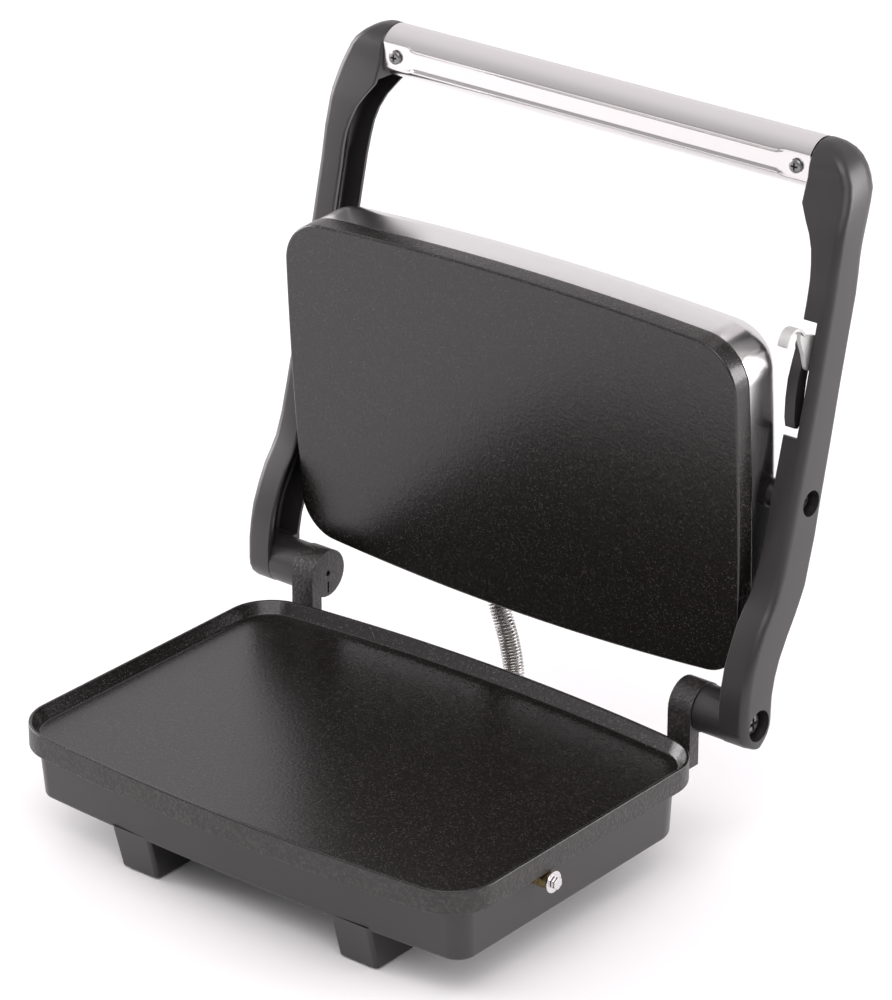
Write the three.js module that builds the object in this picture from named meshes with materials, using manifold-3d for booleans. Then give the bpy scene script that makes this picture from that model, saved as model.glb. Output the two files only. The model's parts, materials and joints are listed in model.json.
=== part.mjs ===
// Contact grill (panini press), lid open: one group of named closed bodies, millimetres, +Z up.
// Built round the lower plate's centre with the table at z = 0, then moved to the middle of its own box.
import * as THREE from 'three';
import { mergeVertices } from 'three/addons/utils/BufferGeometryUtils.js';
import Module from 'manifold-3d';

const wasm = await Module();
wasm.setup();

// ---- driving sizes ------------------------------------------------------------------------------
const gap = 0.3;               // between pieces that touch
const running = 0.15;          // round a turning pin, on the radius
const rimHeight = 68;          // table to the lower plate's rim
const plateWidth = 300;
const plateDepth = 197;
const bandHeight = 13;         // skirt of each cast plate
const panDepth = 6.5;
const floorThickness = 4.5;
const rimSlope = 4;            // how far the pan's wall leans in
const skirtWall = 4;
const rimThick = 1.7;
const lowerPlan = { width: plateWidth, depth: plateDepth, middle: 0, front: 24.4, rear: 23,
  bowFront: 8.4, bowRear: 10.7, bowSide: 0, taper: 0 };
const upperPlan = { width: plateWidth - 8.5, depth: plateDepth - 13.2, middle: 0, front: 23.4, rear: 19.4,
  bowFront: 5.7, bowRear: 7.5, bowSide: 2, taper: -0.85 };

const housingInset = 7.5;      // housing wall behind the skirt, at the top
const housingDraft = { side: 1.3, front: 2.4, rear: 1 };  // further in at the bottom
const housingCorner = { front: 10, rear: 16 };
const housingBow = { front: 5, rear: 10.7 };
const housingRound = 2;        // edge between the walls and the underside
const housingWall = 2.5;
const footHeight = 25;
const footX = plateWidth / 2 - 77;
const footFrontY = 27.5 - plateDepth / 2;
const footRearY = plateDepth / 2 - 26.5;
const footWide = 25;
const footDeep = 30;
const footFlare = 1;           // wider at the top than at the bottom
const padThick = 2.6;
const padProud = 0.8;

const hingeBehind = 20.5;      // hinge axis behind the plate's nominal rear edge
const hingeAboveRim = 13;
const knuckleRadius = 13.5;
const knuckleWide = 14.5;
const knuckleX = plateWidth / 2 - 30.5;  // inner face of each hinge knuckle
const barrelRadius = 12.8;
const boltRadius = 4;
const neckThick = 8;
const bracketFootThick = 4.2;
const bracketFootFrontY = plateDepth / 2 - 24.5;
const bracketScrewY = bracketFootFrontY + 4;
const bracketScrewX = 4.5;     // each side of the bracket's middle

const armWall = 2.6;
const armEdge = 4.5;
const hubEdge = 15;            // rear outer edge of the arm at the handle
const hubEdgeFrom = 213;       // height where that edge starts to grow
const recessRadius = 8.5;
const recessDepth = 8;
const floatBehind = 39.5;      // plate float axis from the hinge axis
const floatAbove = 110.2;
const floatRadius = 2.5;
const floatOffset = 34.8;      // plate float axis behind the cooking face
const headTilt = 3.83;         // degrees the top of the open upper plate leans forward
const trunnionRadius = 7.5;

const tubeRadius = 14;
const tubeWall = 1.2;
const tubeFlat = 11.8;         // tube axis to its flat
const tubeBehind = 83.5;       // tube axis from the hinge axis
const tubeAbove = 273.3;
const spigotLength = 18;
const handleScrewInset = 8.6;
const handleScrewRadius = 1.9;

const headDepth = 41;
const headRound = 15;
const headWall = 0.8;
const headInset = 0.5;
const faceThickness = 3.6;

const conduitRadius = 5.75;
const conduitBore = 4.2;
const wiringRadius = 2.6;
const bushRadius = 7.5;
const bushBore = 3.4;

const hingeY = plateDepth / 2 + hingeBehind;
const hingeZ = rimHeight + hingeAboveRim;
const floatY = hingeY + floatBehind;
const floatZ = hingeZ + floatAbove;
const tubeY = hingeY + tubeBehind;
const tubeZ = hingeZ + tubeAbove;
const sideX = plateWidth / 2;
const barrelX = knuckleX + knuckleWide + gap;
const hubX = sideX - 11.7;     // inner face of the arm at the handle

// Arm stations from the hinge axis up: height, front, rear (both from the axis), inner and outer face
// (both from the lower plate's side).
const armStations = [
  [-12.56, -3.4, 3.4, 0.6, 17.4], [-10.65, -7.5, 7.5, 0.6, 17.4], [-7.46, -10.7, 10.7, 0.6, 17.4],
  [-3.4, -12.6, 12.6, 0.6, 17.4], [0, -13, 13, 0.6, 17.4], [12, -12.7, 13.5, 0.6, 17.4],
  [22, -11.2, 15.8, 0.6, 17.4], [31, -9.1, 19.4, 0.6, 17.4], [42.5, -4.1, 26.2, 0.6, 17.4],
  [52, 1, 32.5, 0.6, 17.4], [58, 5.7, 36, 0.6, 17.4], [65, 10.5, 39.8, 1, 17.4],
  [77, 15.5, 43.1, 1.6, 17.5], [90, 19.3, 46.8, 2.2, 17.6], [110, 24.8, 51.2, 2.2, 17.6],
  [136, 31.8, 57.5, 2.2, 17.6], [167, 40, 64.5, 2.2, 17.6], [197, 47.2, 71.8, 2.2, 17.6],
  [213, 51.1, 75.8, 2.2, 17.6], [223, 53.1, 79, 2.2, 17.6], [231, 54.6, 81.2, 1.5, 17.6],
  [238, 56.6, 83.6, -0.1, 17.5], [245, 58.3, 87, -2.8, 17.3], [251, 60.3, 90.8, -6.6, 17],
  [258, 63.8, 95, -11.4, 16.4], [264, 66.4, 98, -11.7, 15.4], [270, 68.7, 98, -11.7, 13.6],
  [275, 69.4, 97.6, -11.7, 11.2], [279, 70.5, 96.5, -11.7, 8.6], [282.5, 72.7, 94.3, -11.7, 5],
  [285, 75.5, 91.5, -11.5, 1.2], [286.6, 78.5, 88.5, -11.1, -3], [287.2, 80.6, 86.4, -10.6, -6]];
const cavityBottom = 11;
const cavityTop = 260;

// ---- solids from three.js geometry --------------------------------------------------------------
function toSolid(geometry) {
  const bare = geometry.clone();
  for (const name of Object.keys(bare.attributes)) if (name !== 'position') bare.deleteAttribute(name);
  const whole = mergeVertices(bare, 1e-4);
  return new wasm.Manifold(new wasm.Mesh({ numProp: 3,
    vertProperties: new Float32Array(whole.attributes.position.array),
    triVerts: new Uint32Array(whole.index.array) }));
}

function toGeometry(solid) {
  const mesh = solid.getMesh();
  const geometry = new THREE.BufferGeometry();
  geometry.setAttribute('position', new THREE.BufferAttribute(new Float32Array(mesh.vertProperties), 3));
  geometry.setIndex(new THREE.BufferAttribute(new Uint32Array(mesh.triVerts), 1));
  geometry.computeVertexNormals();
  return geometry;
}

function join(first, ...rest) {
  return toGeometry(rest.reduce((sum, piece) => sum.add(toSolid(piece)), toSolid(first)));
}

function cut(first, ...rest) {
  return toGeometry(rest.reduce((left, piece) => left.subtract(toSolid(piece)), toSolid(first)));
}

function box(x0, x1, y0, y1, z0, z1) {
  return new THREE.BoxGeometry(x1 - x0, y1 - y0, z1 - z0)
    .translate((x0 + x1) / 2, (y0 + y1) / 2, (z0 + z1) / 2);
}

// A round bar along X, Y or Z from a to b; u and v are its axis in the other two, in X, Y, Z order.
function bar(along, radius, a, b, u, v, radiusEnd = radius, sides = 20) {
  const geometry = new THREE.CylinderGeometry(radiusEnd, radius, b - a, sides);
  if (along === 'x') geometry.rotateZ(-Math.PI / 2).translate((a + b) / 2, u, v);
  if (along === 'y') geometry.translate(u, (a + b) / 2, v);
  if (along === 'z') geometry.rotateX(Math.PI / 2).translate(u, v, (a + b) / 2);
  return geometry;
}

// A flat outline of [y, z] points, given thickness along X.
function sheetX(points, x0, x1, holes = []) {
  const shape = new THREE.Shape(points.map(([y, z]) => new THREE.Vector2(y, z)));
  shape.holes = holes.map((hole) => new THREE.Path(hole.map(([y, z]) => new THREE.Vector2(y, z))));
  const basis = new THREE.Matrix4().makeBasis(new THREE.Vector3(0, 1, 0), new THREE.Vector3(0, 0, 1),
    new THREE.Vector3(1, 0, 0));
  return new THREE.ExtrudeGeometry(shape, { depth: x1 - x0, bevelEnabled: false })
    .applyMatrix4(basis).translate(x0, 0, 0);
}

// Closed rings of equal length, joined side by side and capped at both ends.
function loft(rings) {
  const n = rings[0].length;
  const position = rings.flat().flatMap((p) => [p.x, p.y, p.z]);
  const index = [];
  for (let k = 0; k + 1 < rings.length; k += 1) {
    for (let i = 0; i < n; i += 1) {
      const a = k * n + i, b = k * n + (i + 1) % n;
      index.push(a, b, b + n, a, b + n, a + n);
    }
  }
  for (const [k, flip] of [[0, true], [rings.length - 1, false]]) {
    const middle = rings[k].reduce((sum, p) => sum.add(p), new THREE.Vector3()).divideScalar(n);
    const centre = position.length / 3;
    position.push(middle.x, middle.y, middle.z);
    for (let i = 0; i < n; i += 1) {
      const a = k * n + i, b = k * n + (i + 1) % n;
      index.push(...(flip ? [centre, b, a] : [centre, a, b]));
    }
  }
  const geometry = new THREE.BufferGeometry();
  geometry.setAttribute('position', new THREE.Float32BufferAttribute(position, 3));
  geometry.setIndex(index);
  return geometry;
}

// Ring of a plate's outline, moved in by inset, at height z: a rounded rectangle with bowed ends.
function outline(plan, inset, z) {
  const halfW = plan.width / 2, halfD = plan.depth / 2;
  const corners = [[1, -1, plan.front], [1, 1, plan.rear], [-1, 1, plan.rear], [-1, -1, plan.front]];
  const steps = { corner: 5, side: 2, end: 8 };
  const ring = [];
  corners.forEach(([sx, sy, full], k) => {
    const r = Math.max(full - inset, 1.5);
    const cx = sx * (halfW - inset - r), cy = sy * (halfD - inset - r);
    const start = (k - 1) * Math.PI / 2;
    for (let i = 0; i <= steps.corner; i += 1) {
      const angle = start + i / steps.corner * Math.PI / 2;
      ring.push([cx + r * Math.cos(angle), cy + r * Math.sin(angle)]);
    }
    const [nx, ny, next] = corners[(k + 1) % 4];
    const rn = Math.max(next - inset, 1.5);
    const from = ring[ring.length - 1];
    const angle = start + Math.PI / 2;
    const to = [nx * (halfW - inset - rn) + rn * Math.cos(angle),
      ny * (halfD - inset - rn) + rn * Math.sin(angle)];
    const parts = k % 2 === 0 ? steps.side : steps.end;
    for (let i = 1; i < parts; i += 1) {
      ring.push([from[0] + (to[0] - from[0]) * i / parts, from[1] + (to[1] - from[1]) * i / parts]);
    }
  });
  return ring.map(([x, y]) => {
    const u = x / halfW, v = y / halfD;
    const side = 1 + (plan.bowSide * (1 - v * v) + plan.taper * v) / halfW;
    const bow = (y < 0 ? plan.bowFront : plan.bowRear) * (1 - u * u) * v * Math.abs(v);
    return new THREE.Vector3(x * side, y + bow + plan.middle, z);
  });
}

function plateLoft(plan, profile) {
  return loft(profile.map(([inset, z]) => outline(plan, inset, z)));
}

function sweep(points, radius, sides, steps, closed = false) {
  const curve = new THREE.CatmullRomCurve3(points.map((p) => new THREE.Vector3(...p)), closed,
    'centripetal');
  const frames = curve.computeFrenetFrames(steps, closed);
  const rings = [];
  for (let k = 0; k <= steps; k += 1) {
    const centre = curve.getPointAt(k / steps);
    const ring = [];
    for (let i = 0; i < sides; i += 1) {
      const a = i / sides * Math.PI * 2;
      ring.push(centre.clone().addScaledVector(frames.normals[k], radius * Math.cos(a))
        .addScaledVector(frames.binormals[k], radius * Math.sin(a)));
    }
    rings.push(ring);
  }
  return loft(rings);
}

function mirrorX(geometry) {
  const other = geometry.clone().scale(-1, 1, 1);
  const index = other.index.array;
  for (let i = 0; i < index.length; i += 3) [index[i + 1], index[i + 2]] = [index[i + 2], index[i + 1]];
  other.computeVertexNormals();
  return other;
}

// ---- the group ----------------------------------------------------------------------------------
const press = new THREE.Group();
press.name = 'contact_grill';
const finishes = {
  nonstick: ['#191817', 0.42, 0.2], cast: ['#35312f', 0.6, 0.25], moulded: ['#2e2c2d', 0.55, 0],
  rubber: ['#151515', 0.9, 0], steel: ['#c9c8c6', 0.28, 1], chrome: ['#dcdbda', 0.12, 1],
  brass: ['#c79a4b', 0.3, 1], zinc: ['#b9b7b2', 0.4, 0.9], ceramic: ['#e6e0d2', 0.7, 0],
  sheath: ['#6f6a66', 0.5, 0.8], wire: ['#d9d5cc', 0.8, 0] };

function add(name, geometry, finish) {
  const [color, roughness, metalness] = finishes[finish];
  const mesh = new THREE.Mesh(geometry, new THREE.MeshStandardMaterial({ color, roughness, metalness }));
  mesh.name = name;
  press.add(mesh);
}

function addPair(name, geometry, finish) {
  add(`${name}_right`, geometry, finish);
  add(`${name}_left`, mirrorX(geometry), finish);
}

// ---- lower plate: a shallow cast pan with a skirt and four posts --------------------------------
const skirtBottom = rimHeight - bandHeight;
const panFloor = rimHeight - panDepth;
const panUnder = panFloor - floorThickness;
const postX = 100;
const postY = 52;
const postRadius = 5;
const postBottom = footHeight + housingWall + gap;
const screwRadius = 2;
const screwHole = screwRadius + gap;

function lowerPlate() {
  const pan = plateLoft(lowerPlan, [[skirtWall, panUnder], [skirtWall, skirtBottom], [0.9, skirtBottom],
    [0, skirtBottom + 1], [0, rimHeight - 1], [1, rimHeight], [rimThick, rimHeight - 0.2],
    [rimThick + rimSlope - 0.7, panFloor + 0.9], [rimThick + rimSlope, panFloor]]);
  const posts = [];
  const holes = [];
  for (const sx of [-1, 1]) {
    for (const sy of [-1, 1]) {
      posts.push(bar('z', postRadius, postBottom, panUnder + 1, sx * postX, sy * postY));
      holes.push(bar('z', screwHole, postBottom - 1, postBottom + 14, sx * postX, sy * postY,
        screwHole, 8));
    }
    const x = sx * (knuckleX + knuckleWide / 2);
    posts.push(box(x - 7, x + 7, bracketFootFrontY - 2, bracketFootFrontY + 6.5, skirtBottom,
      panUnder + 1));
    for (const dx of [-bracketScrewX, bracketScrewX]) {
      holes.push(bar('z', screwHole, skirtBottom - 1, panUnder + 1.6, x + dx, bracketScrewY,
        screwHole, 8));
    }
  }
  return cut(join(pan, ...posts), ...holes);
}
add('lower_plate', lowerPlate(), 'nonstick');

// ---- base housing: an open tub with leaning walls, on four feet ---------------------------------
const housingTop = panUnder - gap;

// The housing's outline at height z, where the walls have leaned in by a share of their draft.
function housingPlan(z) {
  const share = (housingTop - z) / (housingTop - footHeight);
  const { side, front, rear } = housingDraft;
  return { width: plateWidth - 2 * (housingInset + side * share),
    depth: plateDepth - 2 * housingInset - (front + rear) * share, middle: (front - rear) * share / 2,
    front: housingCorner.front, rear: housingCorner.rear,
    bowFront: housingBow.front, bowRear: housingBow.rear, bowSide: 0, taper: 0 };
}

function wallY(x, z, end) {
  const plan = housingPlan(z);
  const bow = (end < 0 ? plan.bowFront : plan.bowRear) * (1 - (x * 2 / plan.width) ** 2);
  return plan.middle + end * (plan.depth / 2 + bow);
}

const postFromHinge = 150;     // latch post on the right side, forward of the hinge axis
const postSideY = hingeY - postFromHinge;
const postSideZ = rimHeight - 17.7;
const postBushRadius = 4.5;
const glandX = 62;
const glandZ = footHeight + 15;
const conduitStart = [-3, 0, footHeight + 15];
const bracketNeckY = hingeY - knuckleRadius;
const bracketSlotBottom = skirtBottom - gap * 2 - bracketFootThick;

function foot(x, y, end) {
  const front = y - footDeep / 2, rear = y + footDeep / 2;
  const top = footHeight + housingRound;
  const wall = wallY(x, top, end) - end * gap / 2;
  const ring = (grow, y0, y1, z) => [[-1, y0], [1, y0], [1, y1], [-1, y1]]
    .map(([side, at]) => new THREE.Vector3(x + side * (footWide + grow) / 2, at, z));
  return loft([ring(-1.6, front + 0.8, rear - 0.8, padProud), ring(0, front, rear, padProud + 1),
    ring(footFlare, end < 0 ? wall : front, end < 0 ? rear : wall, top)]);
}

function baseHousing() {
  const edge = housingRound;
  const profile = [[edge, footHeight], [edge * 0.3, footHeight + edge * 0.3], [0, footHeight + edge],
    [0, housingTop], [housingWall, housingTop], [housingWall, footHeight + housingWall]];
  const tub = loft(profile.map(([inset, z]) => outline(housingPlan(z), inset, z)));
  const feet = [];
  const holes = [];
  for (const sx of [-1, 1]) {
    for (const [y, end] of [[footFrontY, -1], [footRearY, 1]]) {
      const x = sx * footX;
      feet.push(foot(x, y, end));
      holes.push(box(x - footWide / 2 + 3, x + footWide / 2 - 3, y - footDeep / 2 + 3,
        y + footDeep / 2 - 3, padProud - 1, padThick + gap));
    }
    for (const sy of [-1, 1]) {
      holes.push(bar('z', screwHole, footHeight - 1, footHeight + housingWall + 1, sx * postX, sy * postY,
        screwHole, 8));
    }
    const x = sx * (knuckleX + knuckleWide / 2);
    holes.push(box(x - knuckleWide / 2 - gap, x + knuckleWide / 2 + gap, bracketFootFrontY, hingeY,
      bracketSlotBottom, housingTop + 1));
  }
  holes.push(bar('x', 2.3, sideX - 20, sideX, postSideY, postSideZ, 2.3, 16));
  for (const [x, z] of [[glandX, glandZ], [conduitStart[0], conduitStart[2]]]) {
    holes.push(bar('y', 5.3, wallY(x, z, 1) - 12, wallY(x, z, 1) + 6, x, z));
  }
  return cut(join(tub, ...feet), ...holes);
}
add('base_housing', baseHousing(), 'moulded');

for (const [tag, sx, y] of [['front_left', -1, footFrontY], ['front_right', 1, footFrontY],
  ['rear_left', -1, footRearY], ['rear_right', 1, footRearY]]) {
  const x = sx * footX, w = footWide / 2 - 3 - gap, d = footDeep / 2 - 3 - gap;
  add(`foot_pad_${tag}`, box(x - w, x + w, y - d, y + d, 0, padThick), 'rubber');
}

// A screw seen from its head: dome head with a crossed recess, shank along -Z, head underside at z = 0.
function crossScrew(headRadius, headHeight, shankRadius, shankLength) {
  const body = join(bar('z', headRadius, 0, headHeight * 0.45, 0, 0, headRadius, 12),
    bar('z', headRadius, headHeight * 0.45, headHeight, 0, 0, headRadius * 0.72, 12),
    bar('z', shankRadius, -shankLength, 0.2, 0, 0, shankRadius, 8));
  const arm = headRadius * 0.52, half = headRadius * 0.11;
  return cut(body, box(-arm, arm, -half, half, headHeight * 0.4, headHeight + 1),
    box(-half, half, -arm, arm, headHeight * 0.4, headHeight + 1));
}
const upright = (geometry, x, y, z) => geometry.clone().rotateX(Math.PI).translate(x, y, z);
const headForward = (geometry, x, y, z) => geometry.clone().rotateX(Math.PI / 2).translate(x, y, z);

const plateScrew = crossScrew(4, 2.2, screwRadius, 14);
for (const [tag, sx, sy] of [['front_left', -1, -1], ['front_right', 1, -1], ['rear_left', -1, 1],
  ['rear_right', 1, 1]]) {
  add(`plate_screw_${tag}`, upright(plateScrew, sx * postX, sy * postY, footHeight - gap), 'zinc');
}

// ---- hinge brackets: knuckle, neck and a foot that runs forward under the lower plate -----------
function hingeBracket() {
  const x0 = knuckleX, x1 = knuckleX + knuckleWide;
  const footTop = skirtBottom - gap, footBottom = footTop - bracketFootThick;
  const body = join(bar('x', knuckleRadius, x0, x1, hingeY, hingeZ, knuckleRadius, 28),
    box(x0, x1, bracketNeckY, bracketNeckY + neckThick, footBottom, hingeZ),
    box(x0, x1, bracketFootFrontY + gap, bracketNeckY + neckThick, footBottom, footTop));
  const x = (x0 + x1) / 2;
  const holes = [-bracketScrewX, bracketScrewX].map((dx) => bar('z', screwHole, footBottom - 1,
    footTop + 1, x + dx, bracketScrewY, screwHole, 8));
  return cut(body, ...holes, bar('x', boltRadius + gap / 2, x0 + 3.5, x1 + 1, hingeY, hingeZ),
    bar('x', 1.5, x0 - 1, x0 + 5, hingeY, hingeZ, 1.5, 16),
    box(x0 - 1, x0 + 1.2, hingeY - 0.6, hingeY + 0.6, hingeZ - 11.5, hingeZ - 5));
}
addPair('hinge_bracket', hingeBracket(), 'cast');

const bracketScrew = crossScrew(3.6, 2, screwRadius, 7.4);
for (const [tag, dx] of [['inner', -bracketScrewX], ['outer', bracketScrewX]]) {
  addPair(`bracket_screw_${tag}`, upright(bracketScrew, knuckleX + knuckleWide / 2 + dx,
    bracketScrewY, skirtBottom - bracketFootThick - 2 * gap), 'zinc');
}

// ---- arms: channels open to the inside, with hinge barrel, float boss and handle spigot ---------
function armSection([up, front, rear, inner, outer], wall) {
  const x0 = sideX + inner - (wall ? 3 : 0), x1 = sideX + outer - wall;
  const y0 = hingeY + front + wall, y1 = hingeY + rear - wall;
  const soft = Math.min(wall ? armEdge - wall : armEdge, (x1 - x0) * 0.4, (y1 - y0) * 0.4);
  const share = Math.min(Math.max((up - hubEdgeFrom) / (cavityTop - hubEdgeFrom), 0), 1);
  const wide = Math.max(armEdge + (hubEdge - armEdge) * share - wall, soft);
  const back = share > 0 ? Math.min(wide, (x1 - x0) * 0.55, (y1 - y0) * 0.55) : soft;
  const ring = [];
  for (const [cx, cy, r, start, parts] of [[x1 - soft, y0 + soft, soft, -90, 3],
    [x1 - back, y1 - back, back, 0, 5], [x0 + 0.8, y1 - 0.8, 0.8, 90, 1],
    [x0 + 0.8, y0 + 0.8, 0.8, 180, 1]]) {
    for (let i = 0; i <= parts; i += 1) {
      const a = (start + i * 90 / parts) * Math.PI / 180;
      ring.push(new THREE.Vector3(cx + r * Math.cos(a), cy + r * Math.sin(a), hingeZ + up));
    }
  }
  return ring;
}

function stationAt(up) {
  const k = armStations.findIndex((s) => s[0] >= up);
  const [a, b] = [armStations[k - 1], armStations[k]];
  const t = (up - a[0]) / (b[0] - a[0]);
  return a.map((value, i) => value + (b[i] - value) * t);
}

// Round section with its front cut to a flat, as [y, z] points.
function flatRound(radius, flat, sides = 30) {
  const half = Math.acos(flat / radius);
  return Array.from({ length: sides + 1 }, (_, i) => {
    const a = -Math.PI + half + (2 * Math.PI - 2 * half) * i / sides;
    return [tubeY + radius * Math.cos(a), tubeZ + radius * Math.sin(a)];
  });
}

const floatBossX = sideX + 0.5;
const screwSeatX = sideX + 17.6 - recessDepth;
const latchY = hingeY + 50.5;
const latchZ = hingeZ + 189.5;
const latchPinRadius = 2;
const notchFrom = [34.4, 145.7];
const notchTo = [48.8, 203.7];

function arm() {
  const outer = loft(armStations.map((s) => armSection(s, 0)));
  const inside = armStations.filter((s) => s[0] > cavityBottom && s[0] < cavityTop);
  const cavity = loft([stationAt(cavityBottom), ...inside, stationAt(cavityTop)]
    .map((s) => armSection(s, armWall)));
  const shell = cut(outer, cavity);
  const spigot = sheetX(flatRound(tubeRadius - tubeWall - gap, tubeFlat - tubeWall - gap),
    hubX - spigotLength, hubX + 3);
  const solid = join(shell, bar('x', barrelRadius, barrelX, sideX + 14, hingeY, hingeZ, barrelRadius, 28),
    bar('x', 8.5, floatBossX, sideX + 15, floatY, floatZ), spigot);
  return cut(solid,
    bar('x', recessRadius, screwSeatX, sideX + 20, hingeY, hingeZ, recessRadius, 24),
    bar('x', boltRadius + running, barrelX - 1, screwSeatX + 1, hingeY, hingeZ),
    bar('x', 7, screwSeatX, sideX + 20, floatY, floatZ, 7, 24),
    bar('x', floatRadius + gap / 2, floatBossX - 1, screwSeatX + 1, floatY, floatZ),
    bar('y', handleScrewRadius + gap / 2, tubeY - tubeRadius, tubeY + 4, hubX - handleScrewInset,
      tubeZ));
}

function rightArm() {
  const [ay, az] = notchFrom, [by, bz] = notchTo;
  const length = Math.hypot(by - ay, bz - az);
  const notch = new THREE.BoxGeometry(11, armWall + 7, length).translate(sideX + 5.5, 0, 0);
  notch.rotateX(-Math.atan2(by - ay, bz - az))
    .translate(0, hingeY + (ay + by) / 2, hingeZ + (az + bz) / 2);
  const boss = bar('x', 3.8, sideX + 11.2, sideX + 16, latchY, latchZ);
  return cut(join(cut(arm(), notch), boss),
    bar('x', latchPinRadius + gap / 2, sideX + 9, sideX + 14, latchY, latchZ));
}
add('arm_right', rightArm(), 'moulded');
add('arm_left', mirrorX(arm()), 'moulded');

const hingeBolt = join(bar('x', 6.6, screwSeatX + gap, screwSeatX + 4.2, hingeY, hingeZ),
  bar('x', boltRadius, knuckleX + 4, screwSeatX + 1, hingeY, hingeZ));
const crossCut = (x, y, z, reach, half) => [
  box(x - 1.6, x + 1, y - reach, y + reach, z - half, z + half),
  box(x - 1.6, x + 1, y - half, y + half, z - reach, z + reach)];
addPair('hinge_bolt', cut(hingeBolt, ...crossCut(screwSeatX + 4.2, hingeY, hingeZ, 3.4, 0.7)),
  'zinc');

const floatScrewEnd = sideX - 13;
const floatScrew = join(bar('x', 5.2, screwSeatX + gap, screwSeatX + 3.6, floatY, floatZ),
  bar('x', floatRadius, floatScrewEnd, screwSeatX + 1, floatY, floatZ));
addPair('float_screw', cut(floatScrew, ...crossCut(screwSeatX + 3.6, floatY, floatZ, 2.8, 0.6)),
  'zinc');

// ---- handle: flatted tube over the two spigots --------------------------------------------------
const tubeEnd = hubX - gap;
const tube = sheetX(flatRound(tubeRadius, tubeFlat), -tubeEnd, tubeEnd,
  [flatRound(tubeRadius - tubeWall, tubeFlat - tubeWall)]);
const tubeHoles = [-1, 1].map((s) => bar('y', handleScrewRadius + gap / 2, tubeY - tubeRadius,
  tubeY - 6, s * (hubX - handleScrewInset), tubeZ));
add('handle_tube', cut(tube, ...tubeHoles), 'steel');
addPair('handle_screw', headForward(crossScrew(3.8, 1.9, handleScrewRadius, 13),
  hubX - handleScrewInset, tubeY - tubeFlat - gap, tubeZ), 'steel');

// ---- upper head, built lying on its cooking face and then stood on the float axis ---------------
const standUp = new THREE.Matrix4().makeTranslation(0, floatY, floatZ)
  .multiply(new THREE.Matrix4().makeRotationX(headTilt * Math.PI / 180 - Math.PI / 2))
  .multiply(new THREE.Matrix4().makeTranslation(0, 0, -floatOffset));
const stood = (geometry) => geometry.clone().applyMatrix4(standUp);
const skirtTop = bandHeight - 1;
const headPostX = 104;
const headPostY = 58;

function upperPlate() {
  const dish = plateLoft(upperPlan, [[1.5, 0], [0.4, 0.4], [0, 1.5], [0, skirtTop - 1], [0.8, skirtTop],
    [skirtWall, skirtTop], [skirtWall, faceThickness]]);
  const posts = [];
  const holes = [];
  for (const sx of [-1, 1]) {
    for (const sy of [-1, 1]) {
      posts.push(bar('z', postRadius, faceThickness - 1, headDepth - headWall - gap, sx * headPostX,
        sy * headPostY));
      holes.push(bar('z', screwHole, headDepth - 14, headDepth, sx * headPostX, sy * headPostY,
        screwHole, 8));
    }
  }
  return cut(join(dish, ...posts), ...holes);
}
add('upper_plate', stood(upperPlate()), 'nonstick');

const bushLid = { x: -28.5, z: 21.2 };
const shellEnd = upperPlan.depth / 2 + upperPlan.bowRear - headInset;

function upperHousing() {
  const shell = [[headInset, skirtTop + gap], [headInset, headDepth - headRound]];
  const inner = [[headInset + headWall, headDepth - headRound], [headInset + headWall, skirtTop + gap]];
  const turn = (radius, inset, top) => Array.from({ length: 4 }, (_, i) => {
    const a = (i + 1) / 4 * Math.PI / 2;
    return [inset + radius - radius * Math.cos(a), top - radius + radius * Math.sin(a)];
  });
  const under = turn(headRound - headWall, headInset + headWall, headDepth - headWall).reverse();
  const body = plateLoft(upperPlan, [...under, ...inner, ...shell, ...turn(headRound, headInset, headDepth)]);
  const holes = [bar('y', 5.3, shellEnd - 8, shellEnd + 6, bushLid.x, bushLid.z)];
  for (const sx of [-1, 1]) {
    for (const sy of [-1, 1]) {
      holes.push(bar('z', screwHole, headDepth - 4, headDepth + 1, sx * headPostX, sy * headPostY,
        screwHole, 8));
    }
  }
  for (const x of [-sideX, sideX - 22]) {
    holes.push(bar('x', trunnionRadius + gap, x, x + 22, 0, floatOffset, trunnionRadius + gap, 32));
  }
  return cut(body, ...holes);
}
add('upper_housing', stood(upperHousing()), 'chrome');

const trunnion = cut(bar('x', trunnionRadius, sideX - 18, sideX + 0.2, 0, floatOffset,
  trunnionRadius, 32), bar('x', floatRadius + running, sideX - 14, sideX + 2, 0, floatOffset));
addPair('float_trunnion', stood(trunnion), 'moulded');

const shellScrew = crossScrew(4, 2.2, screwRadius, 13);
for (const [tag, sx, sy] of [['top_left', -1, -1], ['top_right', 1, -1], ['bottom_left', -1, 1],
  ['bottom_right', 1, 1]]) {
  add(`shell_screw_${tag}`, stood(shellScrew.clone().translate(sx * headPostX, sy * headPostY,
    headDepth + gap)), 'zinc');
}

// ---- heaters, reflectors and controls hidden in the base and the head ---------------------------
const heaterRadius = 3.2;
function heaterLoop(z) {
  const hw = 84, hd = 40, lead = 9;
  const half = [[lead, hd + 9.5, z - 14], [lead, hd + 9, z - 6], [lead + 3, hd + 6, z - 1.6],
    [lead + 12, hd + 2, z], [hw - 18, hd, z], [hw, hd - 18, z], [hw, -hd + 18, z], [hw - 18, -hd, z]];
  const points = [...half, ...half.toReversed().map(([x, y, up]) => [-x, y, up])];
  return sweep(points, heaterRadius, 6, 44);
}
const flatSheet = (w, d, z0, z1, ...holes) => cut(box(-w / 2, w / 2, -d / 2, d / 2, z0, z1), ...holes);
const leadRadius = heaterRadius + 2.6;
const leadHoles = (z0, z1) => [-9, 9].map((x) => bar('z', leadRadius, z0 - 1, z1 + 1, x, 49,
  leadRadius, 12));

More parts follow.
